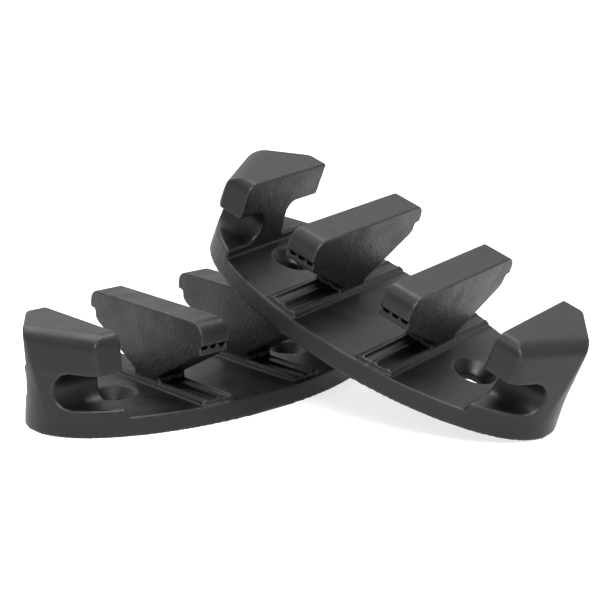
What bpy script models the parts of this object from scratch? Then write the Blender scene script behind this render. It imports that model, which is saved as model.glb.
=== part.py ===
"""A pair of identical moulded chocks: one lies flat and the other leans across it.

Each chock is one piece of black glass-filled plastic: a boat-shaped foot with two countersunk screw
holes, a hooked upright at each end and two T-shaped fins between them on raised lands. The hooks and
the fins overhang the foot at the front and at the back, and a narrow neck carries each of them.

A chock is modelled in its own frame, length along X, front towards -Y and underside on z = 0.
The pair's origin is the middle of the bottom of its bounding box.
"""

from math import asin, cos, pi, radians, sin, sqrt, tan

import bmesh
import bpy
from mathutils import Euler, Matrix, Vector

MM = 0.001
CLEARANCE = 0.3 * MM

# The foot
FOOT_HALF_LENGTH = 52.0 * MM
FOOT_HALF_WIDTH = 26.0 * MM
FOOT_CENTRE_Y = -0.8 * MM
FOOT_SIDE_DRAFT = 0.9 * MM
FOOT_END_DRAFT = 0.2 * MM
FOOT_EDGE_RADIUS = 1.4 * MM
FOOT_EDGE_STEPS = 3
FLOOR_HEIGHT = 4.5 * MM
FOOT_SIDES = 96
END_LEDGE = 0.12 * MM
END_LAP = 1.5 * MM

# The two countersunk screw holes
HOLE_SPACING = 57.6 * MM
HOLE_DIAMETER = 6.0 * MM
COUNTERSINK_DIAMETER = 11.4 * MM
COUNTERSINK_ANGLE = radians(90)
HOLE_SIDES = 40
CUT_PAST = 1.0 * MM

# The fins and the lands that they stand on
FIN_SPACING = 28.5 * MM
FIN_THICKNESS = 8.3 * MM
FIN_HEIGHT = 24.4 * MM
FIN_FRONT_REACH = 22.6 * MM
FIN_BACK_REACH = 23.5 * MM
FIN_FRONT_RADIUS = 3.8 * MM
FIN_BACK_RADIUS = 3.0 * MM
FIN_NOSE_STEPS = 5
FIN_LIP_DEPTH = 5.6 * MM
FIN_FRONT_RECESS = 0.8 * MM
FIN_BACK_RECESS = 1.7 * MM
FIN_BACK_LIP_RISE = 0.8 * MM
FIN_BACK_LIP_SLOPE = 0.2 * MM
FIN_BACK_RECESS_LEAN = 0.3 * MM
FIN_BACK_CHAMFER = 1.0 * MM
FIN_RECESS_HEIGHT = 2.4 * MM
NECK_WIDTH = 9.8 * MM
NECK_HEIGHT = 1.8 * MM
LAND_WIDTH = 9.2 * MM
LAND_HEIGHT = 5.5 * MM
LAND_INSET = 1.8 * MM
LAND_END_STEPS = 6
RIDGE_WIDTH = 1.0 * MM
RIDGE_HEIGHT = 0.5 * MM
RIDGE_PITCH = 3.4 * MM
RIDGE_INSET = 0.3 * MM
RIDGES_PER_LAND = 3

# The end hooks
HOOK_INNER_X = 37.1 * MM
HOOK_HEIGHT = 24.7 * MM
HOOK_FRONT_REACH = 16.3 * MM
HOOK_BACK_REACH = 15.3 * MM
HOOK_END_X = 52.2 * MM
HOOK_CORNER_X = 44.4 * MM
HOOK_BACK_CORNER_X = 42.2 * MM
HOOK_END_FULLNESS = 2.1
HOOK_LEAN = 0.1
HOOK_EDGE_RADIUS = 2.8 * MM
HOOK_BACK_RADIUS = 0.9 * MM
CREASE_PLACE = Vector((40.5 * MM, -14.0 * MM))
CREASE_FACING = radians(-23.6)
CREASE_DROP = 3.4 * MM
CREASE_WIDTH = 4.5 * MM
WALL_SLOPE = 0.08
CHAMFER_PLACE = Vector((50.0 * MM, 5.0 * MM))
CHAMFER_FACING = radians(35)
END_RADIUS = 0.8 * MM
TOP_STEPS = 7
FLARE_BOTTOM = 8.0 * MM
FLARE_TOP = 21.0 * MM
FLARE_AT_SLOT = 0.35
SEAT_HEIGHT = 6.6 * MM
SLOT_TOP = 15.4 * MM
SLOT_END_Y = -6.2 * MM
UNDERCUT_END_Y = 3.2 * MM
UNDERCUT_RADIUS = 3.2 * MM
UNDERCUT_RISE = 0.4 * MM
UNDERCUT_LEAN = 0.6 * MM
HOOK_END_STEPS = 16

# Where the two chocks lie, seen from above, and how the upper one leans
LOWER_HEADING = radians(42.05)
LOWER_PLACE = Vector((-24.75 * MM, -85.36 * MM))
UPPER_HEADING = radians(-36.13)
UPPER_PLACE = Vector((19.46 * MM, -94.5 * MM))
UPPER_ROLL = radians(2.54)

MATERIALS = {
    "lower_chock": {"colour": (0.016, 0.016, 0.017, 1.0), "roughness": 0.48, "metallic": 0.0},
    "upper_chock": {"colour": (0.017, 0.017, 0.018, 1.0), "roughness": 0.46, "metallic": 0.0},
}


def clear_scene():
    """Remove everything that Blender starts with."""
    for thing in list(bpy.data.objects):
        bpy.data.objects.remove(thing, do_unlink=True)


def object_from(name, shape):
    """Close a bmesh into an object with its faces pointing out."""
    bmesh.ops.recalc_face_normals(shape, faces=shape.faces)
    mesh = bpy.data.meshes.new(name)
    shape.to_mesh(mesh)
    shape.free()
    thing = bpy.data.objects.new(name, mesh)
    bpy.context.scene.collection.objects.link(thing)
    return thing


def helper_from(name, shape):
    """An object that only feeds a Boolean."""
    thing = object_from(name, shape)
    thing.hide_render = True
    thing.display_type = "WIRE"
    return thing


def add_prism(shape, outline, along):
    """Add the solid that a flat closed outline sweeps when it moves by a vector."""
    face = shape.faces.new([shape.verts.new(point) for point in outline])
    swept = bmesh.ops.extrude_face_region(shape, geom=[face])["geom"]
    moved = [item for item in swept if isinstance(item, bmesh.types.BMVert)]
    bmesh.ops.translate(shape, verts=moved, vec=along)


def arc(centre_a, centre_b, radius, start, end, steps):
    """Points on an arc, angles in radians, both ends included."""
    turns = (start + (end - start) * step / steps for step in range(steps + 1))
    return [(centre_a + radius * cos(turn), centre_b + radius * sin(turn)) for turn in turns]


# ---------------------------------------------------------------- foot, lands and screw holes


def foot_half_width(x, inset=0.0):
    """Half the foot's width at a place along its length."""
    share = min(abs(x) / (FOOT_HALF_LENGTH - inset), 1.0)
    return (FOOT_HALF_WIDTH - inset) * sqrt(1.0 - share * share)


def foot():
    """The boat-shaped plate with a rounded upper edge."""
    shape = bmesh.new()
    rim = bmesh.ops.create_circle(shape, cap_ends=True, segments=FOOT_SIDES, radius=1.0)["verts"]
    for vert in rim:
        y = vert.co.y * FOOT_HALF_WIDTH + FOOT_CENTRE_Y
        vert.co = Vector((vert.co.x * FOOT_HALF_LENGTH, y, 0.0))
    swept = bmesh.ops.extrude_face_region(shape, geom=shape.faces[:])["geom"]
    top = [item for item in swept if isinstance(item, bmesh.types.BMVert)]
    x_share = 1.0 - FOOT_END_DRAFT / FOOT_HALF_LENGTH
    y_share = 1.0 - FOOT_SIDE_DRAFT / FOOT_HALF_WIDTH
    for vert in top:
        y = (vert.co.y - FOOT_CENTRE_Y) * y_share + FOOT_CENTRE_Y
        vert.co = Vector((vert.co.x * x_share, y, FLOOR_HEIGHT))
    top_set = set(top)
    edges = [edge for edge in shape.edges if set(edge.verts) <= top_set]
    bmesh.ops.bevel(
        shape,
        geom=edges,
        offset=FOOT_EDGE_RADIUS,
        segments=FOOT_EDGE_STEPS,
        profile=0.5,
        affect="EDGES",
    )
    # The plate stops just inside the end blocks, which carry its outline on.
    for side in (-1, 1):
        cut = bmesh.ops.bisect_plane(
            shape,
            geom=shape.verts[:] + shape.edges[:] + shape.faces[:],
            plane_co=(side * (HOOK_INNER_X + END_LAP), 0, 0),
            plane_no=(side, 0, 0),
            clear_outer=True,
        )["geom_cut"]
        open_edges = [item for item in cut if isinstance(item, bmesh.types.BMEdge)]
        bmesh.ops.contextual_create(shape, geom=open_edges)
    return object_from("chock_blank", shape)


def land_bounds(side):
    """The inner and outer x of one land."""
    middle = side * FIN_SPACING / 2
    return middle - LAND_WIDTH / 2, middle + LAND_WIDTH / 2


def lands():
    """The raised strips across the foot, with their ends parallel to the foot's edge."""
    shape = bmesh.new()
    for side in (-1, 1):
        low_x, high_x = land_bounds(side)
        shares = [step / LAND_END_STEPS for step in range(LAND_END_STEPS + 1)]
        places = [low_x + (high_x - low_x) * share for share in shares]
        bottom = FLOOR_HEIGHT / 2
        front = [(x, FOOT_CENTRE_Y - foot_half_width(x, LAND_INSET), bottom) for x in places]
        back = [(x, FOOT_CENTRE_Y + foot_half_width(x, LAND_INSET), bottom) for x in places]
        add_prism(shape, front + back[::-1], (0, 0, LAND_HEIGHT - bottom))
    return helper_from("lands", shape)


def ridges():
    """Three small ridges along each land, front to back."""
    shape = bmesh.new()
    for side in (-1, 1):
        for place in range(RIDGES_PER_LAND):
            x = side * FIN_SPACING / 2 + (place - (RIDGES_PER_LAND - 1) / 2) * RIDGE_PITCH
            reach = foot_half_width(abs(x) + RIDGE_WIDTH / 2, LAND_INSET) - RIDGE_INSET
            front_y = FOOT_CENTRE_Y - reach
            section = [
                (x - RIDGE_WIDTH / 2, front_y, LAND_HEIGHT),
                (x - RIDGE_WIDTH / 4, front_y, LAND_HEIGHT + RIDGE_HEIGHT),
                (x + RIDGE_WIDTH / 4, front_y, LAND_HEIGHT + RIDGE_HEIGHT),
                (x + RIDGE_WIDTH / 2, front_y, LAND_HEIGHT),
                (x + RIDGE_WIDTH / 2, front_y, LAND_HEIGHT - 2 * RIDGE_HEIGHT),
                (x - RIDGE_WIDTH / 2, front_y, LAND_HEIGHT - 2 * RIDGE_HEIGHT),
            ]
            add_prism(shape, section, (0, 2 * reach, 0))
    return helper_from("ridges", shape)


def screw_holes():
    """Two countersunk holes, each a turned cutter from under the foot to above its floor."""
    shape = bmesh.new()
    bore = HOLE_DIAMETER / 2
    sink = COUNTERSINK_DIAMETER / 2
    depth = (sink - bore) / tan(COUNTERSINK_ANGLE / 2)
    rise = FLOOR_HEIGHT + CUT_PAST
    section = [
        (0.0, -CUT_PAST),
        (bore, -CUT_PAST),
        (bore, FLOOR_HEIGHT - depth),
        (sink, FLOOR_HEIGHT),
        (sink, rise),
        (0.0, rise),
    ]
    for side in (-1, 1):
        centre = Vector((side * HOLE_SPACING / 2, FOOT_CENTRE_Y, 0))
        points = [shape.verts.new(centre + Vector((radius, 0, z))) for radius, z in section]
        edges = [shape.edges.new(pair) for pair in zip(points, points[1:])]
        bmesh.ops.spin(
            shape,
            geom=points + edges,
            cent=centre,
            axis=(0, 0, 1),
            angle=2 * pi,
            steps=HOLE_SIDES,
            use_merge=True,
        )
    bmesh.ops.remove_doubles(shape, verts=shape.verts, dist=0.001 * MM)
    return helper_from("screw_holes", shape)


# ---------------------------------------------------------------- fins


def fin_section():
    """The T-shaped outline of a fin as (y, z), from the foot of the neck's front round to its back."""
    lip_bottom = FIN_HEIGHT - FIN_LIP_DEPTH
    recess_bottom = lip_bottom - FIN_RECESS_HEIGHT
    front, back = -FIN_FRONT_REACH, FIN_BACK_REACH
    neck = NECK_WIDTH / 2
    front_radius, back_radius = FIN_FRONT_RADIUS, FIN_BACK_RADIUS
    start_z = FLOOR_HEIGHT + (LAND_HEIGHT - FLOOR_HEIGHT) / 2
    back_wall = back - FIN_BACK_RECESS
    back_lip = lip_bottom + FIN_BACK_LIP_RISE
    back_bottom = recess_bottom + FIN_BACK_LIP_RISE
    points = [(-neck, start_z), (-neck, LAND_HEIGHT + NECK_HEIGHT)]
    points += [(front + FIN_FRONT_RECESS, recess_bottom), (front + FIN_FRONT_RECESS, lip_bottom)]
    points += [(front, lip_bottom)]
    middle = front + front_radius, FIN_HEIGHT - front_radius
    points += arc(*middle, front_radius, pi, pi / 2, FIN_NOSE_STEPS)
    middle = back - back_radius, FIN_HEIGHT - back_radius
    points += arc(*middle, back_radius, pi / 2, 0, FIN_NOSE_STEPS)
    points += [(back, back_lip), (back_wall, back_lip - FIN_BACK_LIP_SLOPE)]
    points += [(back_wall - FIN_BACK_RECESS_LEAN, back_bottom)]
    chamfer_y = back_wall - FIN_BACK_RECESS_LEAN - FIN_BACK_CHAMFER
    points += [(chamfer_y, back_bottom - FIN_BACK_CHAMFER)]
    points += [(neck, LAND_HEIGHT + NECK_HEIGHT), (neck, start_z)]
    return points


def fins():
    """The two fins, each its section extruded through its thickness."""
    shape = bmesh.new()
    for side in (-1, 1):
        x = side * FIN_SPACING / 2 - FIN_THICKNESS / 2
        add_prism(shape, [(x, y, z) for y, z in fin_section()], (FIN_THICKNESS, 0, 0))
    return helper_from("fins", shape)


# ---------------------------------------------------------------- end hooks


def head_rim():
    """The outline of a hook's head seen from above, from the front inner corner to the back one."""
    front, back = -HOOK_FRONT_REACH, HOOK_BACK_REACH
    front_middle = (HOOK_INNER_X + HOOK_CORNER_X) / 2
    rim = [(HOOK_INNER_X, front), (front_middle, front), (HOOK_CORNER_X, front)]
    for step in range(1, HOOK_END_STEPS + 1):
        share = step / HOOK_END_STEPS
        bulge = (HOOK_END_X - HOOK_CORNER_X) * (1 - abs(2 * share - 1) ** HOOK_END_FULLNESS)
        rim.append((HOOK_CORNER_X + bulge, front + (back - front) * share))
    rim += [(HOOK_BACK_CORNER_X, back), (HOOK_INNER_X, back)]
    return [Vector(point) for point in rim]


def foot_rim(head):
    """The end block's outline at its bottom, a small ledge proud of the plate.

    It lies where rays from the middle of the inner face through the head's rim meet that outline.
    """
    rim = []
    half_length, half_width = FOOT_HALF_LENGTH + END_LEDGE, FOOT_HALF_WIDTH + END_LEDGE
    for point in head:
        ray = point - Vector((HOOK_INNER_X, 0.0))
        low, high = 0.0, 3.0
        for _ in range(40):
            share = (low + high) / 2
            x, y = HOOK_INNER_X + ray.x * share, ray.y * share
            inside = (x / half_length) ** 2 + ((y - FOOT_CENTRE_Y) / half_width) ** 2 < 1
            low, high = (share, high) if inside else (low, share)
        rim.append(Vector((HOOK_INNER_X + ray.x * low, ray.y * low)))
    return rim


def drop_back(fall, radius_z, radius_xy):
    """How far a rounded edge is still from its crease after falling this far below the top."""
    share = min(max(1.0 - fall / radius_z, 0.0), 1.0)
    return radius_xy * sqrt(1.0 - share * share)


def crease_reach(fall):
    """How far the shoulder has come out after falling this far below the top."""
    return drop_back(fall, CREASE_DROP, CREASE_WIDTH) + WALL_SLOPE * fall


def held_behind(point, place, facing, reach):
    """Bring a point back to a line across the head, or to a distance in front of that line."""
    normal = Vector((cos(facing), sin(facing)))
    past = (point - place).dot(normal) - reach
    return point - normal * max(past, 0.0)


def hook_ring(z, foot_points, head_points):
    """One level of a hook: the foot's rim flares into the head's, and the top edges are round."""
    share = min(max((z - FLARE_BOTTOM) / (FLARE_TOP - FLARE_BOTTOM), 0.0), 1.0)
    share = share * share * (3 - 2 * share)
    blend = 1.0 if z >= SLOT_TOP else share
    fall = HOOK_HEIGHT - z
    rise = min(z, SEAT_HEIGHT) / FLOOR_HEIGHT
    lean = HOOK_LEAN * (z - (SLOT_TOP + HOOK_HEIGHT) / 2) * blend
    front = HOOK_EDGE_RADIUS - HOOK_FRONT_REACH
    front -= drop_back(fall, HOOK_EDGE_RADIUS, HOOK_EDGE_RADIUS)
    back = HOOK_BACK_REACH - HOOK_BACK_RADIUS
    back += drop_back(fall, HOOK_BACK_RADIUS, HOOK_BACK_RADIUS)
    end = drop_back(fall, END_RADIUS, END_RADIUS) - END_RADIUS
    ring = []
    for low, high in zip(foot_points, head_points):
        x = low.x * (1 - FOOT_END_DRAFT * rise / FOOT_HALF_LENGTH)
        y = (low.y - FOOT_CENTRE_Y) * (1 - FOOT_SIDE_DRAFT * rise / FOOT_HALF_WIDTH)
        low = Vector((x, y + FOOT_CENTRE_Y))
        point = low.lerp(high, blend)
        point.x = min(point.x, low.x + (high.x - low.x) * max(share, FLARE_AT_SLOT * blend))
        point = held_behind(point, CREASE_PLACE, CREASE_FACING, crease_reach(fall))
        if blend == 1.0:
            point = held_behind(point, CHAMFER_PLACE, CHAMFER_FACING, end)
            point.x = min(point.x, HOOK_END_X + end)
            point.y = min(max(point.y, front), back)
        point.x = max(point.x, HOOK_INNER_X)
        ring.append(Vector((point.x, point.y + lean, z)))
    return ring


def hook_levels():
    """Heights of a hook's rings, closest where its shape turns."""
    levels = [0.0, FLOOR_HEIGHT, SEAT_HEIGHT, FLARE_BOTTOM]
    levels += [FLARE_BOTTOM + (SLOT_TOP - FLARE_BOTTOM) * 0.7, SLOT_TOP]
    shoulder = HOOK_HEIGHT - CREASE_DROP
    for share in (0.33, 0.6):
        levels.append(SLOT_TOP + (shoulder - SLOT_TOP) * share)
    for step in range(TOP_STEPS + 1):
        levels.append(shoulder + CREASE_DROP * sin(pi / 2 * step / TOP_STEPS))
    return levels


def hooks():
    """The two end blocks, before the slots under their heads are cut."""
    shape = bmesh.new()
    index = shape.verts.layers.int.new("rim")
    head_points = head_rim()
    foot_points = foot_rim(head_points)
    for side in (-1, 1):
        rings = [hook_ring(z, foot_points, head_points) for z in hook_levels()]
        first = []
        for place, point in enumerate(rings[0]):
            vert = shape.verts.new((side * point.x, point.y, point.z))
            vert[index] = place
            first.append(vert)
        top = shape.faces.new(first)
        for level, ring in enumerate(rings[1:]):
            below = top
            swept = bmesh.ops.extrude_face_region(shape, geom=[below])["geom"]
            top = next(item for item in swept if isinstance(item, bmesh.types.BMFace))
            if level:
                bmesh.ops.delete(shape, geom=[below], context="FACES_ONLY")
            for vert in top.verts:
                point = ring[vert[index]]
                vert.co = Vector((side * point.x, point.y, point.z))
    return helper_from("hooks", shape)


def front_slot_section():
    """The gap under a hook's front, closed by a round end against the neck, as (y, z)."""
    radius = (SLOT_TOP - SEAT_HEIGHT) / 2
    open_y = FOOT_CENTRE_Y - FOOT_HALF_WIDTH - CUT_PAST
    round_end = arc(SLOT_END_Y - radius, SEAT_HEIGHT + radius, radius, -pi / 2, pi / 2, 10)
    return [(open_y, SEAT_HEIGHT)] + round_end + [(open_y, SLOT_TOP)]


def back_slot_section():
    """The gap under a hook's back, with a smaller round at the top of the neck, as (y, z)."""
    radius = UNDERCUT_RADIUS
    open_y = FOOT_CENTRE_Y + FOOT_HALF_WIDTH + CUT_PAST
    top = SLOT_TOP + UNDERCUT_RISE
    round_top = arc(UNDERCUT_END_Y + radius, top - radius, radius, pi / 2, pi, 6)
    bottom = [(UNDERCUT_END_Y + UNDERCUT_LEAN, SEAT_HEIGHT), (open_y, SEAT_HEIGHT)]
    return [(open_y, top)] + round_top + bottom


def slots():
    """Cutters for the gaps under the hooks' heads, at both ends of the chock."""
    shape = bmesh.new()
    reach = max(FOOT_HALF_LENGTH, HOOK_END_X) - HOOK_INNER_X + 2 * CUT_PAST + END_LEDGE
    for side in (-1, 1):
        start = side * (HOOK_INNER_X - CUT_PAST)
        for section in (front_slot_section(), back_slot_section()):
            add_prism(shape, [(start, y, z) for y, z in section], (side * reach, 0, 0))
    return helper_from("slots", shape)


# ---------------------------------------------------------------- one chock


def chock_mesh():
    """One finished chock as a mesh: the foot joined with what stands on it, then cut."""
    blank = foot()
    steps = [
        ("UNION", hooks()),
        ("UNION", lands()),
        ("UNION", ridges()),
        ("UNION", fins()),
        ("DIFFERENCE", slots()),
        ("DIFFERENCE", screw_holes()),
    ]
    for operation, helper in steps:
        boolean = blank.modifiers.new(helper.name, "BOOLEAN")
        boolean.operation = operation
        boolean.solver = "EXACT"
        boolean.object = helper
    bpy.context.view_layer.update()
    graph = bpy.context.evaluated_depsgraph_get()
    mesh = bpy.data.meshes.new_from_object(blank.evaluated_get(graph))
    for thing in [blank] + [helper for _, helper in steps]:
        bpy.data.objects.remove(thing, do_unlink=True)
    mesh.name = "chock"
    mesh.shade_smooth()
    mesh.set_sharp_from_angle(angle=radians(28))
    return mesh


# ---------------------------------------------------------------- how the pair lies


def lower_matrix():
    """The lower chock lies flat."""
    return Matrix.Translation(LOWER_PLACE.to_3d()) @ Matrix.Rotation(LOWER_HEADING, 4, "Z")


def upper_matrix(mesh):
    """The upper chock's far end stands on the ground and its underside leans on the lower chock.

    Its slope is found by halving: steeper lifts the underside off the lower chock's points.
    """
    lower = lower_matrix()
    carriers = [lower @ vert.co for vert in mesh.vertices if vert.co.z > SLOT_TOP]
    rim = [vert.co.copy() for vert in mesh.vertices if vert.co.z < FLOOR_HEIGHT / 2]

    def placed(slope):
        turn = Euler((UPPER_ROLL, slope, UPPER_HEADING), "XYZ").to_matrix().to_4x4()
        lowest = min((turn @ point).z for point in rim)
        return Matrix.Translation((UPPER_PLACE.x, UPPER_PLACE.y, -lowest)) @ turn

    def gap(slope):
        matrix = placed(slope)
        inverse = matrix.inverted()
        gaps = [HOOK_HEIGHT]
        for carrier in carriers:
            local = inverse @ carrier
            along = local.x / (FOOT_HALF_LENGTH + 2 * CUT_PAST)
            across = (local.y - FOOT_CENTRE_Y) / (FOOT_HALF_WIDTH + 2 * CUT_PAST)
            if along * along + across * across < 1:
                gaps.append(-local.z)
        return min(gaps)

    low, high = asin(0.1), asin(0.7)
    for _ in range(40):
        slope = (low + high) / 2
        low, high = (low, slope) if gap(slope) > CLEARANCE else (slope, high)
    return placed(high)


def material_for(name):
    """The moulded black plastic of one chock."""
    values = MATERIALS[name]
    material = bpy.data.materials.new(name)
    material.use_nodes = True
    shader = material.node_tree.nodes["Principled BSDF"]
    shader.inputs["Base Color"].default_value = values["colour"]
    shader.inputs["Roughness"].default_value = values["roughness"]
    shader.inputs["Metallic"].default_value = values["metallic"]
    return material


def main():
    """Build both chocks and set the pair's origin at the middle of the bottom of its box."""
    clear_scene()
    mesh = chock_mesh()
    mesh.materials.append(None)
    places = {"lower_chock": lower_matrix(), "upper_chock": upper_matrix(mesh)}
    corners = [matrix @ vert.co for matrix in places.values() for vert in mesh.vertices]
    middle_x = (min(c.x for c in corners) + max(c.x for c in corners)) / 2
    middle_y = (min(c.y for c in corners) + max(c.y for c in corners)) / 2
    bottom = min(c.z for c in corners)
    to_origin = Matrix.Translation((-middle_x, -middle_y, -bottom))
    for name, matrix in places.items():
        chock = bpy.data.objects.new(name, mesh)
        bpy.context.scene.collection.objects.link(chock)
        chock.material_slots[0].link = "OBJECT"
        chock.material_slots[0].material = material_for(name)
        chock.matrix_world = to_origin @ matrix


main()
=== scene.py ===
"""Two identical chocks of black moulded plastic, one lying flat and one leaning across it.

Each chock is a single moulding: a boat-shaped foot with two countersunk screw holes, a hooked
upright at each end and two T-shaped fins on ridged lands between them. The chock is shaped once in
its own frame, length along X, front towards -Y and underside on z = 0, then set in both places.
"""

import logging
from collections.abc import Callable, Iterable
from dataclasses import dataclass, field
from enum import Enum
from math import cos, pi, radians, sin, sqrt, tan

import bmesh
import bpy
import numpy as np
from mathutils import Euler, Matrix, Vector

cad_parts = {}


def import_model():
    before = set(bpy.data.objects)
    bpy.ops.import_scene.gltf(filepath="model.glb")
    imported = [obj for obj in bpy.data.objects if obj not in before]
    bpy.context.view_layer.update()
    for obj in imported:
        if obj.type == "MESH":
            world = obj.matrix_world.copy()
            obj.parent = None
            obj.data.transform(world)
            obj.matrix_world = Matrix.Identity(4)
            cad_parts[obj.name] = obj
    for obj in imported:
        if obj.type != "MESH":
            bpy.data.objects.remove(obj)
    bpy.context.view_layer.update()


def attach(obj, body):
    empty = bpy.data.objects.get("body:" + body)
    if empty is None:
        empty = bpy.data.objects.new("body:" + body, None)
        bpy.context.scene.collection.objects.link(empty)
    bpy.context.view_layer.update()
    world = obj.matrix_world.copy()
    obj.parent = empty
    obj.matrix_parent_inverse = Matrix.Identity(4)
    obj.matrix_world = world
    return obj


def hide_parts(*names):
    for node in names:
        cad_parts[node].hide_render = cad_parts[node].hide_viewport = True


MM = 0.001
log = logging.getLogger("chocks")

Point = tuple[float, float]


class End(Enum):
    """The two ends of a chock, by the sign of their x."""

    LEFT = -1
    RIGHT = 1


class Cut(Enum):
    """How a helper solid changes the moulding."""

    ADD = "UNION"
    REMOVE = "DIFFERENCE"


# ---------------------------------------------------------------- shared mesh work


def arc(centre: Point, radius: float, start: float, end: float, steps: int) -> list[Point]:
    """Points along an arc, both ends included.

    Args:
        centre: Middle of the arc.
        radius: Its radius.
        start: First angle in radians.
        end: Last angle in radians.
        steps: Number of chords.

    Returns:
        The points in order.
    """
    turns = (start + (end - start) * step / steps for step in range(steps + 1))
    return [(centre[0] + radius * cos(turn), centre[1] + radius * sin(turn)) for turn in turns]


def add_prism(shape: bmesh.types.BMesh, outline: Iterable[Iterable[float]], along: Vector) -> None:
    """Add the solid that a flat closed outline sweeps.

    Args:
        shape: The bmesh to add to.
        outline: Corners of the outline, in order.
        along: How far and which way it moves.
    """
    face = shape.faces.new([shape.verts.new(tuple(point)) for point in outline])
    swept = bmesh.ops.extrude_face_region(shape, geom=[face])["geom"]
    moved = [item for item in swept if isinstance(item, bmesh.types.BMVert)]
    bmesh.ops.translate(shape, verts=moved, vec=along)


def object_from(name: str, shape: bmesh.types.BMesh) -> bpy.types.Object:
    """Close a bmesh into an object with its faces pointing out.

    Args:
        name: Name of the object and its mesh.
        shape: The bmesh, which is freed.

    Returns:
        The new object, linked to the scene.
    """
    bmesh.ops.recalc_face_normals(shape, faces=shape.faces)
    mesh = bpy.data.meshes.new(name)
    shape.to_mesh(mesh)
    shape.free()
    made = bpy.data.objects.new(name, mesh)
    bpy.context.scene.collection.objects.link(made)
    return made


def evaluated_mesh(thing: bpy.types.Object) -> bpy.types.Mesh:
    """A new mesh holding the object as its modifiers leave it."""
    bpy.context.view_layer.update()
    graph = bpy.context.evaluated_depsgraph_get()
    return bpy.data.meshes.new_from_object(thing.evaluated_get(graph))


def discard(things: Iterable[bpy.types.Object]) -> None:
    """Remove helper objects together with their meshes."""
    for thing in things:
        mesh = thing.data
        bpy.data.objects.remove(thing, do_unlink=True)
        bpy.data.meshes.remove(mesh)


# ---------------------------------------------------------------- the parts of one moulding


@dataclass(frozen=True)
class Foot:
    """The boat-shaped plate that everything stands on."""

    half_length: float = 52.0 * MM
    half_width: float = 26.0 * MM
    centre_y: float = -0.8 * MM
    side_draft: float = 0.9 * MM
    end_draft: float = 0.2 * MM
    edge_radius: float = 1.4 * MM
    edge_steps: int = 8
    floor: float = 4.5 * MM
    sides: int = 192

    def half_width_at(self, x: float, inset: float = 0.0) -> float:
        """Half the foot's width at a place along its length.

        Args:
            x: The place.
            inset: How far inside the foot's outline to measure.

        Returns:
            The distance from the foot's middle line to that outline.
        """
        share = min(abs(x) / (self.half_length - inset), 1.0)
        return (self.half_width - inset) * sqrt(1.0 - share * share)

    def solid(self, end_x: float) -> bpy.types.Object:
        """Model the plate, cut square where the end blocks take over.

        Args:
            end_x: Distance of each cut from the middle.

        Returns:
            The plate.
        """
        shape = bmesh.new()
        rim = bmesh.ops.create_circle(shape, cap_ends=True, segments=self.sides, radius=1.0)
        for vert in rim["verts"]:
            y = vert.co.y * self.half_width + self.centre_y
            vert.co = Vector((vert.co.x * self.half_length, y, 0.0))
        swept = bmesh.ops.extrude_face_region(shape, geom=shape.faces[:])["geom"]
        top = {item for item in swept if isinstance(item, bmesh.types.BMVert)}
        for vert in top:
            x = vert.co.x * (1.0 - self.end_draft / self.half_length)
            y = (vert.co.y - self.centre_y) * (1.0 - self.side_draft / self.half_width)
            vert.co = Vector((x, y + self.centre_y, self.floor))
        bmesh.ops.bevel(
            shape,
            geom=[edge for edge in shape.edges if set(edge.verts) <= top],
            offset=self.edge_radius,
            segments=self.edge_steps,
            profile=0.5,
            affect="EDGES",
            material=-1,
        )
        for end in End:
            cut = bmesh.ops.bisect_plane(
                shape,
                geom=shape.verts[:] + shape.edges[:] + shape.faces[:],
                plane_co=(end.value * end_x, 0, 0),
                plane_no=(end.value, 0, 0),
                clear_outer=True,
            )["geom_cut"]
            open_edges = [item for item in cut if isinstance(item, bmesh.types.BMEdge)]
            bmesh.ops.contextual_create(shape, geom=open_edges)
        return object_from("foot", shape)


@dataclass(frozen=True)
class Lands:
    """The raised strips under the fins, with small ridges along them."""

    spacing: float = 28.5 * MM
    width: float = 9.2 * MM
    height: float = 5.5 * MM
    inset: float = 1.8 * MM
    end_steps: int = 12
    ridge_width: float = 1.0 * MM
    ridge_height: float = 0.5 * MM
    ridge_pitch: float = 3.4 * MM
    ridge_inset: float = 0.3 * MM
    ridge_count: int = 3

    def solid(self, foot: Foot) -> bpy.types.Object:
        """Model both strips, their ends parallel to the foot's edge."""
        shape = bmesh.new()
        bottom = foot.floor / 2
        for end in End:
            low = end.value * self.spacing / 2 - self.width / 2
            shares = [step / self.end_steps for step in range(self.end_steps + 1)]
            places = [low + self.width * share for share in shares]
            reach = [foot.half_width_at(x, self.inset) for x in places]
            front = [(x, foot.centre_y - y, bottom) for x, y in zip(places, reach)]
            back = [(x, foot.centre_y + y, bottom) for x, y in zip(places, reach)]
            add_prism(shape, front + back[::-1], Vector((0, 0, self.height - bottom)))
        return object_from("lands", shape)

    def ridges(self, foot: Foot) -> bpy.types.Object:
        """Model the small ridges, front to back along each strip."""
        shape = bmesh.new()
        half, top = self.ridge_width / 2, self.height + self.ridge_height
        bottom = self.height - 2 * self.ridge_height
        for end in End:
            for place in range(self.ridge_count):
                offset = (place - (self.ridge_count - 1) / 2) * self.ridge_pitch
                x = end.value * self.spacing / 2 + offset
                reach = foot.half_width_at(abs(x) + half, self.inset) - self.ridge_inset
                y = foot.centre_y - reach
                section = [(x - half, y, bottom), (x - half, y, self.height)]
                section += [(x - half / 2, y, top), (x + half / 2, y, top)]
                section += [(x + half, y, self.height), (x + half, y, bottom)]
                add_prism(shape, section, Vector((0, 2 * reach, 0)))
        return object_from("ridges", shape)


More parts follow.
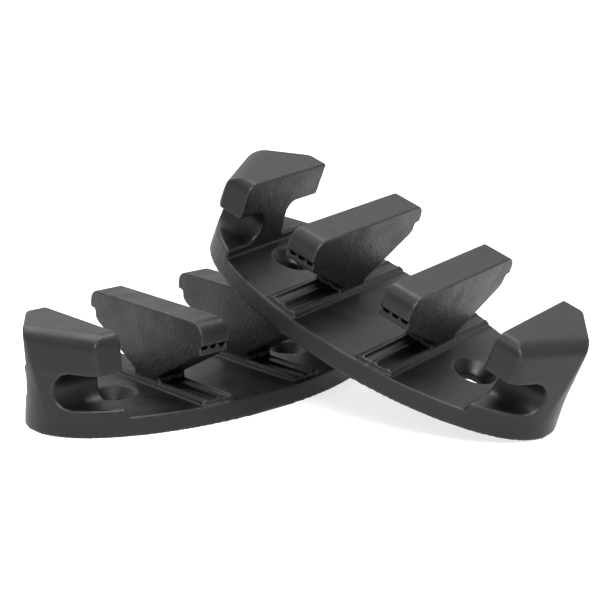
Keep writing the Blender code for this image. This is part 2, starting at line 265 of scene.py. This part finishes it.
@dataclass(frozen=True)
class ScrewHoles:
    """Two countersunk holes through the foot."""

    spacing: float = 57.6 * MM
    bore: float = 5.7 * MM
    sink: float = 11.2 * MM
    angle: float = radians(90)
    sides: int = 96
    past: float = 1.0 * MM

    def cutter(self, foot: Foot) -> bpy.types.Object:
        """Turn the solid that cuts both holes.

        Args:
            foot: The plate, into whose floor the heads sink.

        Returns:
            The cutter.
        """
        shape = bmesh.new()
        bore, sink, floor = self.bore / 2, self.sink / 2, foot.floor
        depth = (sink - bore) / tan(self.angle / 2)
        section = [(0.0, -self.past), (bore, -self.past), (bore, floor - depth)]
        section += [(sink, floor), (sink, floor + self.past), (0.0, floor + self.past)]
        for end in End:
            centre = Vector((end.value * self.spacing / 2, foot.centre_y, 0))
            points = [shape.verts.new(centre + Vector((radius, 0, z))) for radius, z in section]
            edges = [shape.edges.new(pair) for pair in zip(points, points[1:])]
            bmesh.ops.spin(
                shape,
                geom=points + edges,
                cent=centre,
                axis=(0, 0, 1),
                angle=2 * pi,
                steps=self.sides,
                use_merge=True,
            )
        bmesh.ops.remove_doubles(shape, verts=shape.verts, dist=0.001 * MM)
        return object_from("screw_holes", shape)


@dataclass(frozen=True)
class Fins:
    """The two T-shaped fins, whose arms overhang the foot at the front and at the back."""

    thickness: float = 8.3 * MM
    height: float = 24.4 * MM
    front_reach: float = 22.6 * MM
    back_reach: float = 23.5 * MM
    front_radius: float = 3.8 * MM
    back_radius: float = 3.0 * MM
    nose_steps: int = 14
    lip_depth: float = 5.6 * MM
    front_recess: float = 0.8 * MM
    back_recess: float = 1.7 * MM
    back_lip_rise: float = 0.8 * MM
    back_lip_slope: float = 0.2 * MM
    back_recess_lean: float = 0.3 * MM
    back_chamfer: float = 1.0 * MM
    recess_height: float = 2.4 * MM
    neck_width: float = 9.8 * MM
    neck_height: float = 1.8 * MM
    pocket_pitch: float = 2.65 * MM
    pocket_width: float = 1.9 * MM
    pocket_height: float = 1.1 * MM
    pocket_depth: float = 1.5 * MM

    def section(self, bottom: float, land: float) -> list[Point]:
        """The fin's outline seen from the side.

        Args:
            bottom: Height at which the section starts, inside the land.
            land: Height of the land's top.

        Returns:
            Corners as (y, z), from the front of the neck round to its back.
        """
        lip = self.height - self.lip_depth
        recess = lip - self.recess_height
        front, back = -self.front_reach, self.back_reach
        neck = self.neck_width / 2
        wall = back - self.back_recess
        back_lip, back_low = lip + self.back_lip_rise, recess + self.back_lip_rise
        outline = [(-neck, bottom), (-neck, land + self.neck_height)]
        outline += [(front + self.front_recess, recess), (front + self.front_recess, lip)]
        outline += [(front, lip)]
        radius = self.front_radius
        outline += arc((front + radius, self.height - radius), radius, pi, pi / 2, self.nose_steps)
        radius = self.back_radius
        outline += arc((back - radius, self.height - radius), radius, pi / 2, 0, self.nose_steps)
        outline += [(back, back_lip), (wall, back_lip - self.back_lip_slope)]
        outline += [(wall - self.back_recess_lean, back_low)]
        chamfer_y = wall - self.back_recess_lean - self.back_chamfer
        outline += [(chamfer_y, back_low - self.back_chamfer)]
        outline += [(neck, land + self.neck_height), (neck, bottom)]
        return outline

    def solid(self, lands: Lands, floor: float) -> bpy.types.Object:
        """Extrude both fins through their thickness."""
        shape = bmesh.new()
        section = self.section((floor + lands.height) / 2, lands.height)
        for end in End:
            x = end.value * lands.spacing / 2 - self.thickness / 2
            add_prism(shape, [(x, y, z) for y, z in section], Vector((self.thickness, 0, 0)))
        return object_from("fins", shape)

    def pockets(self, lands: Lands) -> bpy.types.Object:
        """Cutters for the three small pockets right under each front lip."""
        shape = bmesh.new()
        top = self.height - self.lip_depth
        bottom = top - self.pocket_height
        face = self.front_recess - self.front_reach
        low, high = face - self.pocket_depth, face + self.pocket_depth
        outline = [(low, bottom), (high, bottom), (high, top), (low, top)]
        for end in End:
            for place in (-1, 0, 1):
                middle = end.value * lands.spacing / 2 + place * self.pocket_pitch
                x = middle - self.pocket_width / 2
                along = Vector((self.pocket_width, 0, 0))
                add_prism(shape, [(x, y, z) for y, z in outline], along)
        return object_from("pockets", shape)


@dataclass(frozen=True)
class EndHooks:
    """The hooked uprights at both ends, and the slots under their heads."""

    inner_x: float = 37.1 * MM
    height: float = 24.7 * MM
    front_reach: float = 16.3 * MM
    back_reach: float = 15.3 * MM
    end_x: float = 52.2 * MM
    corner_x: float = 44.4 * MM
    back_corner_x: float = 42.2 * MM
    end_fullness: float = 2.1
    lean: float = 0.1
    edge_radius: float = 2.8 * MM
    back_radius: float = 0.9 * MM
    crease_place: Point = (40.5 * MM, -14.0 * MM)
    crease_facing: float = radians(-23.6)
    crease_drop: float = 3.4 * MM
    crease_width: float = 4.5 * MM
    wall_slope: float = 0.08
    chamfer_place: Point = (50.0 * MM, 5.0 * MM)
    chamfer_facing: float = radians(35)
    end_radius: float = 0.8 * MM
    top_steps: int = 18
    flare_bottom: float = 8.0 * MM
    flare_top: float = 21.0 * MM
    flare_at_slot: float = 0.35
    flare_steps: int = 12
    seat: float = 6.6 * MM
    slot_top: float = 15.4 * MM
    slot_end_y: float = -6.2 * MM
    undercut_end_y: float = 3.2 * MM
    undercut_radius: float = 3.2 * MM
    undercut_rise: float = 0.4 * MM
    undercut_lean: float = 0.6 * MM
    end_steps: int = 40
    ledge: float = 0.02 * MM
    lap: float = 1.5 * MM
    past: float = 1.0 * MM

    def head_rim(self) -> list[Vector]:
        """The head's outline from above, from the front inner corner round to the back one."""
        front, back = -self.front_reach, self.back_reach
        rim = [(self.inner_x, front), ((self.inner_x + self.corner_x) / 2, front)]
        rim += [(self.corner_x, front)]
        for step in range(1, self.end_steps + 1):
            share = step / self.end_steps
            bulge = (self.end_x - self.corner_x) * (1 - abs(2 * share - 1) ** self.end_fullness)
            rim.append((self.corner_x + bulge, front + (back - front) * share))
        rim += [(self.back_corner_x, back), (self.inner_x, back)]
        return [Vector(point) for point in rim]

    def foot_rim(self, head: list[Vector], foot: Foot) -> list[Vector]:
        """Carry each point of the head's rim out to the foot's outline.

        Args:
            head: The head's rim.
            foot: The plate.

        Returns:
            As many points, on rays from the middle of the inner face.
        """
        rim = []
        half_length, half_width = foot.half_length + self.ledge, foot.half_width + self.ledge
        for point in head:
            ray = point - Vector((self.inner_x, 0.0))
            low, high = 0.0, 3.0
            for _ in range(40):
                share = (low + high) / 2
                x, y = self.inner_x + ray.x * share, ray.y * share
                inside = (x / half_length) ** 2 + ((y - foot.centre_y) / half_width) ** 2 < 1
                low, high = (share, high) if inside else (low, share)
            rim.append(Vector((self.inner_x + ray.x * low, ray.y * low)))
        return rim

    @staticmethod
    def round_reach(fall: float, drop: float, width: float) -> float:
        """How far a rounded edge has come out after falling this far below the top."""
        share = min(max(1.0 - fall / drop, 0.0), 1.0)
        return width * sqrt(1.0 - share * share)

    def crease_reach(self, fall: float) -> float:
        """How far the shoulder has come out after falling this far below the top."""
        return self.round_reach(fall, self.crease_drop, self.crease_width) + self.wall_slope * fall

    @staticmethod
    def held(point: Vector, place: Point, facing: float, reach: float) -> Vector:
        """Bring a point back to a line across the head.

        Args:
            point: The point, seen from above.
            place: A point of the line.
            facing: The way that the line faces, in radians from the length of the chock.
            reach: How far past the line the point may be.

        Returns:
            The point, moved only if it was too far out.
        """
        normal = Vector((cos(facing), sin(facing)))
        past = (point - Vector(place)).dot(normal) - reach
        return point - normal * max(past, 0.0)

    def ring(self, z: float, foot: Foot, low: list[Vector], high: list[Vector]) -> list[Vector]:
        """One level of a hook.

        Args:
            z: Its height.
            foot: The plate, whose draft the end block shares.
            low: The foot's rim.
            high: The head's rim.

        Returns:
            The level's outline, with the flare of the end and the soft top edges in it.
        """
        share = min(max((z - self.flare_bottom) / (self.flare_top - self.flare_bottom), 0.0), 1.0)
        share = share * share * (3 - 2 * share)
        blend = 1.0 if z >= self.slot_top else share
        fall = self.height - z
        rise = min(z, self.seat) / foot.floor
        lean = self.lean * (z - (self.slot_top + self.height) / 2) * blend
        front = self.edge_radius - self.front_reach
        front -= self.round_reach(fall, self.edge_radius, self.edge_radius)
        back = self.back_reach - self.back_radius
        back += self.round_reach(fall, self.back_radius, self.back_radius)
        end = self.round_reach(fall, self.end_radius, self.end_radius) - self.end_radius
        outline = []
        for below, above in zip(low, high):
            x = below.x * (1 - foot.end_draft * rise / foot.half_length)
            y = (below.y - foot.centre_y) * (1 - foot.side_draft * rise / foot.half_width)
            below = Vector((x, y + foot.centre_y))
            point = below.lerp(above, blend)
            flare = max(share, self.flare_at_slot * blend)
            point.x = min(point.x, below.x + (above.x - below.x) * flare)
            point = self.held(point, self.crease_place, self.crease_facing, self.crease_reach(fall))
            if blend == 1.0:
                point = self.held(point, self.chamfer_place, self.chamfer_facing, end)
                point.x = min(point.x, self.end_x + end)
                point.y = min(max(point.y, front), back)
            outline.append(Vector((max(point.x, self.inner_x), point.y + lean, z)))
        return outline

    def levels(self, floor: float) -> list[float]:
        """Heights of the rings, closest where the hook's shape turns."""
        levels = [0.0, floor, self.seat]
        shoulder = self.height - self.crease_drop
        for low, high, steps in (
            (self.flare_bottom, self.slot_top, self.flare_steps),
            (self.slot_top, shoulder, self.flare_steps),
        ):
            levels += [low + (high - low) * step / steps for step in range(steps)]
        for step in range(self.top_steps + 1):
            levels.append(shoulder + self.crease_drop * sin(pi / 2 * step / self.top_steps))
        return levels

    def solid(self, foot: Foot) -> bpy.types.Object:
        """Model both end blocks by extruding level after level, before their slots are cut."""
        shape = bmesh.new()
        index = shape.verts.layers.int.new("rim")
        high = self.head_rim()
        low = self.foot_rim(high, foot)
        for end in End:
            rings = [self.ring(z, foot, low, high) for z in self.levels(foot.floor)]
            first = []
            for place, point in enumerate(rings[0]):
                vert = shape.verts.new((end.value * point.x, point.y, point.z))
                vert[index] = place
                first.append(vert)
            top = shape.faces.new(first)
            for level, ring in enumerate(rings[1:]):
                below = top
                swept = bmesh.ops.extrude_face_region(shape, geom=[below])["geom"]
                top = next(item for item in swept if isinstance(item, bmesh.types.BMFace))
                if level:
                    bmesh.ops.delete(shape, geom=[below], context="FACES_ONLY")
                for vert in top.verts:
                    point = ring[vert[index]]
                    vert.co = Vector((end.value * point.x, point.y, point.z))
        return object_from("hooks", shape)

    def slots(self, foot: Foot) -> bpy.types.Object:
        """Cutters for the gaps under the heads, at the front and at the back of both ends."""
        radius = (self.slot_top - self.seat) / 2
        open_y = foot.half_width + abs(foot.centre_y) + self.past
        middle = (self.slot_end_y - radius, self.seat + radius)
        front = [(-open_y, self.seat)] + arc(middle, radius, -pi / 2, pi / 2, 24)
        front += [(-open_y, self.slot_top)]
        top = self.slot_top + self.undercut_rise
        corner = (self.undercut_end_y + self.undercut_radius, top - self.undercut_radius)
        back = [(open_y, top)] + arc(corner, self.undercut_radius, pi / 2, pi, 14)
        back += [(self.undercut_end_y + self.undercut_lean, self.seat), (open_y, self.seat)]
        shape = bmesh.new()
        reach = self.end_x - self.inner_x + 3 * self.past
        for end in End:
            start = end.value * (self.inner_x - self.past)
            for section in (front, back):
                outline = [(start, y, z) for y, z in section]
                add_prism(shape, outline, Vector((end.value * reach, 0, 0)))
        return object_from("slots", shape)


# ---------------------------------------------------------------- finish


@dataclass(frozen=True)
class MouldedPlastic:
    """Black glass-filled plastic as it leaves the mould: satin and finely grained, its edges lightened partly
    for rubbing and partly as a painted highlight.
    """

    colour: float = 0.005
    mottle: float = 0.3
    # Lighter colour on convex edges: partly rubbed wear, partly a painted highlight along the rounded edges.
    wear_and_highlight_colour: float = 0.018
    roughness: float = 0.36
    roughness_spread: float = 0.16
    side_roughness: float = 0.0
    grain_per_metre: float = 2600.0
    fleck_per_metre: float = 1700.0
    flecks_end: tuple[float, float] = (39.0 * MM, 42.0 * MM)
    fleck_colour: float = 0.009
    grain_depth: float = 0.06 * MM
    fleck_depth: float = 0.14 * MM

    def material(self, name: str, pose: Matrix) -> bpy.types.Material:
        """Build the material for a chock in its place.

        Args:
            name: Name of the material.
            pose: The chock's place, which turns its patterns with it.

        Returns:
            The material.
        """
        material = bpy.data.materials.new(name)
        material.use_nodes = True
        nodes, links = material.node_tree.nodes, material.node_tree.links
        shader = nodes["Principled BSDF"]

        def node(kind: str, **inputs: object) -> bpy.types.Node:
            """Add a node and set or link its named inputs."""
            made = nodes.new(kind)
            for key, value in inputs.items():
                socket = made.inputs[key.replace("_", " ")]
                if isinstance(value, bpy.types.NodeSocket):
                    links.new(value, socket)
                else:
                    socket.default_value = value
            return made

        def math(operation: str, *values: object) -> bpy.types.NodeSocket:
            """A Math node's result."""
            made = nodes.new("ShaderNodeMath")
            made.operation = operation
            for socket, value in zip(made.inputs, values):
                if isinstance(value, bpy.types.NodeSocket):
                    links.new(value, socket)
                else:
                    socket.default_value = value
            return made.outputs[0]

        def spread(value: bpy.types.NodeSocket, low: float, high: float, to_low: float, to_high: float):
            """Map one range onto another, clamped."""
            made = node("ShaderNodeMapRange", Value=value)
            for key, number in (("From Min", low), ("From Max", high), ("To Min", to_low), ("To Max", to_high)):
                made.inputs[key].default_value = number
            return made.outputs["Result"]

        def noise(place: bpy.types.NodeSocket, scale: float, detail: float, rough: float = 0.55):
            """A noise texture's value."""
            made = node("ShaderNodeTexNoise", Vector=place, Scale=scale, Detail=detail, Roughness=rough)
            return made.outputs["Fac"]

        coordinates = nodes.new("ShaderNodeTexCoord").outputs["Object"]
        turned = node("ShaderNodeMapping", Vector=coordinates)
        turned.vector_type = "TEXTURE"
        turned.inputs["Location"].default_value = pose.to_translation()
        turned.inputs["Rotation"].default_value = pose.to_euler("XYZ")
        place = turned.outputs["Vector"]

        facing = node("ShaderNodeMapping", Vector=nodes.new("ShaderNodeNewGeometry").outputs["Normal"])
        facing.vector_type = "TEXTURE"
        facing.inputs["Rotation"].default_value = pose.to_euler("XYZ")
        split = node("ShaderNodeSeparateXYZ", Vector=facing.outputs["Vector"])
        side = spread(math("ABSOLUTE", split.outputs["X"]), 0.8, 0.97, 0.0, 1.0)
        along = node("ShaderNodeSeparateXYZ", Vector=place).outputs["X"]
        inner = spread(math("ABSOLUTE", along), *self.flecks_end, 1.0, 0.0)
        side = math("MULTIPLY", side, inner)

        stretched = node("ShaderNodeMapping", Vector=place)
        stretched.inputs["Scale"].default_value = (0.5, 1.0, 0.5)
        flecks = noise(stretched.outputs["Vector"], self.fleck_per_metre, 4.0, 0.62)
        grain = noise(place, self.grain_per_metre, 3.0)
        cloud = noise(place, 140.0, 4.0)
        patch = noise(place, 420.0, 3.0)
        # Mask from how sharply the surface bends: convex edges get real rubbing and a painted highlight.
        wear_and_highlight = node("ShaderNodeAttribute")
        wear_and_highlight.attribute_name = "edge_wear_and_highlight"
        rubbed_and_highlit = math("MULTIPLY", wear_and_highlight.outputs["Fac"], spread(patch, 0.35, 0.7, 0.2, 1.0))

        shade = spread(cloud, 0.3, 0.7, self.colour * (1 - self.mottle), self.colour * (1 + self.mottle))
        fleck = spread(flecks, 0.45, 0.6, 0.0, self.fleck_colour)
        shade = math("ADD", shade, math("MULTIPLY", side, fleck))
        shade = math("ADD", shade, spread(grain, 0.45, 0.7, 0.0, self.fleck_colour * 0.3))
        # Convex edges lightened: part rubbed wear, part painted highlight.
        shade = math("ADD", shade, math("MULTIPLY", rubbed_and_highlit, self.wear_and_highlight_colour))
        tint = node("ShaderNodeCombineColor", Red=shade, Green=shade, Blue=math("MULTIPLY", shade, 1.03))
        links.new(tint.outputs["Color"], shader.inputs["Base Color"])

        rough = spread(cloud, 0.3, 0.7, self.roughness, self.roughness + self.roughness_spread)
        rough = math("ADD", rough, math("MULTIPLY", side, self.side_roughness))
        rough = math("ADD", rough, math("MULTIPLY", spread(grain, 0.3, 0.7, -1.0, 1.0), 0.03))
        links.new(rough, shader.inputs["Roughness"])

        fine = node("ShaderNodeBump", Height=grain, Distance=self.grain_depth, Strength=0.6)
        scored = node("ShaderNodeBump", Height=flecks, Distance=self.fleck_depth)
        links.new(math("MULTIPLY", side, 0.9), scored.inputs["Strength"])
        links.new(fine.outputs["Normal"], scored.inputs["Normal"])
        links.new(scored.outputs["Normal"], shader.inputs["Normal"])
        shader.inputs["IOR"].default_value = 1.5
        return material


# ---------------------------------------------------------------- one chock


@dataclass(frozen=True)
class Moulding:
    """One whole chock: its features joined, cut and given the soft edges of a moulding."""

    foot: Foot = field(default_factory=Foot)
    lands: Lands = field(default_factory=Lands)
    holes: ScrewHoles = field(default_factory=ScrewHoles)
    fins: Fins = field(default_factory=Fins)
    hooks: EndHooks = field(default_factory=EndHooks)
    voxel: float = 0.34 * MM
    soft_steps: int = 2
    rim_soft_steps: int = 14
    most_triangles: int = 180_000
    # How sharp a bend counts as a fully rubbed, painted-highlight edge.
    wear_and_highlight_bend: float = 900.0

    def blank(self) -> bpy.types.Mesh:
        """Join the features into one solid and cut the slots, pockets and holes."""
        body = self.foot.solid(self.hooks.inner_x + self.hooks.lap)
        steps = [
            (Cut.ADD, self.hooks.solid(self.foot)),
            (Cut.ADD, self.lands.solid(self.foot)),
            (Cut.ADD, self.lands.ridges(self.foot)),
            (Cut.ADD, self.fins.solid(self.lands, self.foot.floor)),
            (Cut.REMOVE, self.fins.pockets(self.lands)),
            (Cut.REMOVE, self.hooks.slots(self.foot)),
            (Cut.REMOVE, self.holes.cutter(self.foot)),
        ]
        for cut, helper in steps:
            boolean = body.modifiers.new(helper.name, "BOOLEAN")
            boolean.operation = cut.value
            boolean.solver = "EXACT"
            boolean.object = helper
        mesh = evaluated_mesh(body)
        discard([body] + [helper for _, helper in steps])
        return mesh

    def remeshed(self, sharp: bpy.types.Mesh) -> bpy.types.Mesh:
        """Cover the solid with even small faces, which rounds its edges a little."""
        thing = bpy.data.objects.new("even", sharp)
        bpy.context.scene.collection.objects.link(thing)
        remesh = thing.modifiers.new("even", "REMESH")
        remesh.mode = "VOXEL"
        remesh.voxel_size = self.voxel
        mesh = evaluated_mesh(thing)
        discard([thing])
        return mesh

    def softened(self, even: bpy.types.Mesh) -> bpy.types.Mesh:
        """Ease every edge, the seat's front rim most, and thin the faces where it is flat."""
        thing = bpy.data.objects.new("soft", even)
        bpy.context.scene.collection.objects.link(thing)
        group = thing.vertex_groups.new(name="rim")
        for vert in even.vertices:
            weight = self.rim_weight(vert.co)
            if weight > 0.01:
                group.add([vert.index], weight, "REPLACE")
        ease = thing.modifiers.new("ease", "SMOOTH")
        ease.factor = 0.5
        ease.iterations = self.soft_steps
        rim = thing.modifiers.new("rim", "SMOOTH")
        rim.factor = 0.5
        rim.iterations = self.rim_soft_steps
        rim.vertex_group = group.name
        thin = thing.modifiers.new("thin", "DECIMATE")
        thin.ratio = min(1.0, self.most_triangles / (2 * len(even.polygons)))
        mesh = evaluated_mesh(thing)
        discard([thing])
        mesh.shade_smooth()
        return mesh

    def rim_weight(self, point: Vector) -> float:
        """How much the rim of the seats beside a neck is eased at a point."""
        past_end = abs(point.x) - self.hooks.inner_x
        near = 1.0 - abs(point.z - self.hooks.seat) / (2.2 * MM)
        beside_neck = point.y < self.hooks.slot_end_y or point.y > self.hooks.undercut_end_y + 2 * MM
        if past_end < -0.5 * MM or not beside_neck or near <= 0:
            return 0.0
        return min(1.0, 2 * near)

    def mark_wear_and_highlight(self, mesh: bpy.types.Mesh) -> None:
        """Store how sharply the surface bends outward at each vertex, for the finish's edge wear and painted
        edge highlight.
        """
        count = len(mesh.vertices)
        places = np.empty(count * 3)
        mesh.vertices.foreach_get("co", places)
        places = places.reshape(-1, 3)
        normals = np.array([vert.vector[:] for vert in mesh.vertex_normals])
        ends = np.empty(len(mesh.edges) * 2, np.int64)
        mesh.edges.foreach_get("vertices", ends)
        first, last = ends.reshape(-1, 2).T
        step = places[first] - places[last]
        length = np.maximum((step * step).sum(1), 1e-12)
        bend = ((normals[first] - normals[last]) * step).sum(1) / length
        share = np.bincount(first, minlength=count) + np.bincount(last, minlength=count)
        value = np.bincount(first, bend, count) + np.bincount(last, bend, count)
        value = np.clip(value / np.maximum(share, 1) / self.wear_and_highlight_bend, 0.0, 1.0)
        # The stored value lightens edges in the finish, as wear and as a painted highlight.
        wear_and_highlight = mesh.attributes.new("edge_wear_and_highlight", "FLOAT", "POINT")
        wear_and_highlight.data.foreach_set("value", value.astype(np.float32))

    def mesh(self) -> bpy.types.Mesh:
        """The finished chock in its own frame."""
        mesh = self.softened(self.remeshed(self.blank()))
        self.mark_wear_and_highlight(mesh)
        return mesh


@dataclass(frozen=True)
class Chock:
    """A moulding set in its place."""

    name: str
    node: str
    body: str
    slot: str
    place: tuple[float, float, float]
    roll: float
    slope: float
    heading: float
    finish: MouldedPlastic = field(default_factory=MouldedPlastic)

    def pose(self) -> Matrix:
        """Where the chock lies."""
        turn = Euler((radians(self.roll), radians(self.slope), radians(self.heading)), "XYZ")
        return Matrix.Translation(Vector(self.place) * MM) @ turn.to_matrix().to_4x4()

    def build(self, moulding: bpy.types.Mesh) -> bpy.types.Object:
        """Copy the moulding into place, dress it and put it on its body.

        Args:
            moulding: One chock in its own frame.

        Returns:
            The finished piece.
        """
        mesh = moulding.copy()
        mesh.name = self.name
        mesh.transform(self.pose())
        piece = bpy.data.objects.new(self.name, mesh)
        bpy.context.scene.collection.objects.link(piece)
        mesh.materials.clear()
        mesh.materials.append(self.finish.material(f"{self.name}_plastic", self.pose()))
        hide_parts(self.node)
        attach(piece, self.body)
        return piece


# ---------------------------------------------------------------- studio


@dataclass(frozen=True)
class Studio:
    """A pale lit table under soft white light, and the camera in front of it."""

    floor_side: float = 6.0
    floor_drop: float = 0.05 * MM
    floor_white: float = 0.5
    floor_glow: float = 0.6
    sky: float = 0.84
    focal_length: float = 91.53
    sensor: float = 36.0
    camera_place: tuple[float, float, float] = (-0.21 * MM, -370.17 * MM, 122.86 * MM)
    camera_pitch: float = 14.91

    def floor(self) -> bpy.types.Object:
        """Lay the table top just under the chocks."""
        shape = bmesh.new()
        bmesh.ops.create_grid(shape, x_segments=1, y_segments=1, size=self.floor_side / 2)
        bmesh.ops.translate(shape, verts=shape.verts, vec=(0, 0, -self.floor_drop))
        floor = object_from("table_top", shape)
        material = bpy.data.materials.new("table_white")
        material.use_nodes = True
        shader = material.node_tree.nodes["Principled BSDF"]
        shader.inputs["Base Color"].default_value = (*[self.floor_white] * 3, 1.0)
        shader.inputs["Roughness"].default_value = 0.9
        shader.inputs["Emission Color"].default_value = (1.0, 1.0, 1.0, 1.0)
        shader.inputs["Emission Strength"].default_value = self.floor_glow
        floor.data.materials.append(material)
        return floor

    def light(self, name: str, place: Vector, size: float, power: float) -> bpy.types.Object:
        """Hang a square soft box that faces the chocks.

        Args:
            name: Name of the light.
            place: Its middle.
            size: Its side.
            power: Its power in watts.

        Returns:
            The light.
        """
        lamp = bpy.data.lights.new(name, "AREA")
        lamp.shape = "SQUARE"
        lamp.size = size
        lamp.energy = power
        thing = bpy.data.objects.new(name, lamp)
        thing.location = place
        thing.rotation_euler = (Vector((0, 0, 0.02)) - place).to_track_quat("-Z", "Y").to_euler()
        bpy.context.scene.collection.objects.link(thing)
        return thing

    def world(self) -> None:
        """Light everything from all round with an even white."""
        world = bpy.data.worlds.new("studio")
        world.use_nodes = True
        shade = world.node_tree.nodes["Background"]
        shade.inputs["Color"].default_value = (1.0, 1.0, 1.0, 1.0)
        shade.inputs["Strength"].default_value = self.sky
        bpy.context.scene.world = world

    def camera(self) -> bpy.types.Object:
        """Set the camera in front, looking slightly down."""
        lens = bpy.data.cameras.new("camera")
        lens.lens = self.focal_length
        lens.sensor_width = self.sensor
        lens.clip_start = 0.01
        camera = bpy.data.objects.new("camera", lens)
        camera.location = self.camera_place
        camera.rotation_euler = (radians(90 - self.camera_pitch), 0.0, 0.0)
        bpy.context.scene.collection.objects.link(camera)
        bpy.context.scene.camera = camera
        return camera

    def build(self) -> None:
        """Set up the table, the light and the camera."""
        self.world()
        self.floor()
        self.light("key_box", Vector((-0.4, 0.5, 0.9)), 0.6, 3.5)
        self.light("front_box", Vector((0.1, -0.7, 0.8)), 0.4, 8.0)
        self.light("top_box", Vector((0.25, 0.3, 0.9)), 0.4, 3.0)
        self.camera()
        bpy.context.scene.view_settings.view_transform = "Standard"
        bpy.context.scene.view_settings.look = "Medium High Contrast"


def main() -> None:
    """Build both chocks on their bodies, then the studio round them."""
    logging.basicConfig(level=logging.INFO, format="%(name)s: %(message)s")
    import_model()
    moulding = Moulding().mesh()
    log.info("moulding: %d faces", len(moulding.polygons))
    chocks = [
        Chock(
            name="lower_moulding",
            node="lower_chock",
            body="lower",
            slot="lower_plastic",
            place=(-24.961, 5.866, 0.0),
            roll=0.0,
            slope=0.0,
            heading=42.05,
        ),
        Chock(
            name="upper_moulding",
            node="upper_chock",
            body="upper",
            slot="upper_plastic",
            place=(19.249, -3.274, 18.173),
            roll=2.54,
            slope=20.33,
            heading=-36.13,
        ),
    ]
    for chock in chocks:
        piece = chock.build(moulding)
        log.info("%s rides on %s", piece.name, chock.body)
    bpy.data.meshes.remove(moulding)
    Studio().build()


if __name__ == "__main__":
    main()
